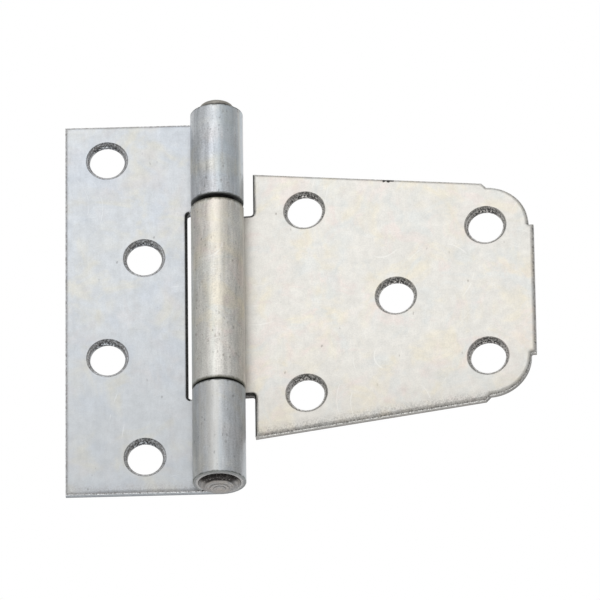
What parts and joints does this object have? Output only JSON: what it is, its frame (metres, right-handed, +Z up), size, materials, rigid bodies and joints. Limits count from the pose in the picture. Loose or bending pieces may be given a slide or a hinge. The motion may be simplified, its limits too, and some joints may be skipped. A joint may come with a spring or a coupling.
{
  "type": "gate hinge",
  "caption": "Butt hinge in plated sheet steel: a rectangular jamb leaf and a tapered gate leaf, both punched for screws, turn on one riveted pin.",
  "frame": {"origin": "centre of the jamb leaf's back face: mid-height, midway between its two screw columns", "axes": "+Z up along the pin, +X from the post towards the gate, +Y into the post; the knuckles stand towards -Y"},
  "size_m": [0.1017, 0.0115, 0.0933],
  "materials": {
    "jamb_zinc": "bright zinc plating, cool grey with faint mottling",
    "gate_zinc": "bright zinc plating, warm grey with pale yellow and pink passivation",
    "pin_steel": "dull steel, riveted and rounded ends"
  },
  "bodies": {
    "jamb": {"jamb_leaf": "jamb_zinc", "hinge_pin": "pin_steel"},
    "gate": {"gate_leaf": "gate_zinc"}
  },
  "joints": [
    {"name": "leaf_swing", "type": "hinge", "parent": "jamb", "child": "gate", "pos_m": [0.0201, -0.00575, 0], "axis": [0, 0, -1], "range_deg": [-99.5, 185.5]}
  ]
}
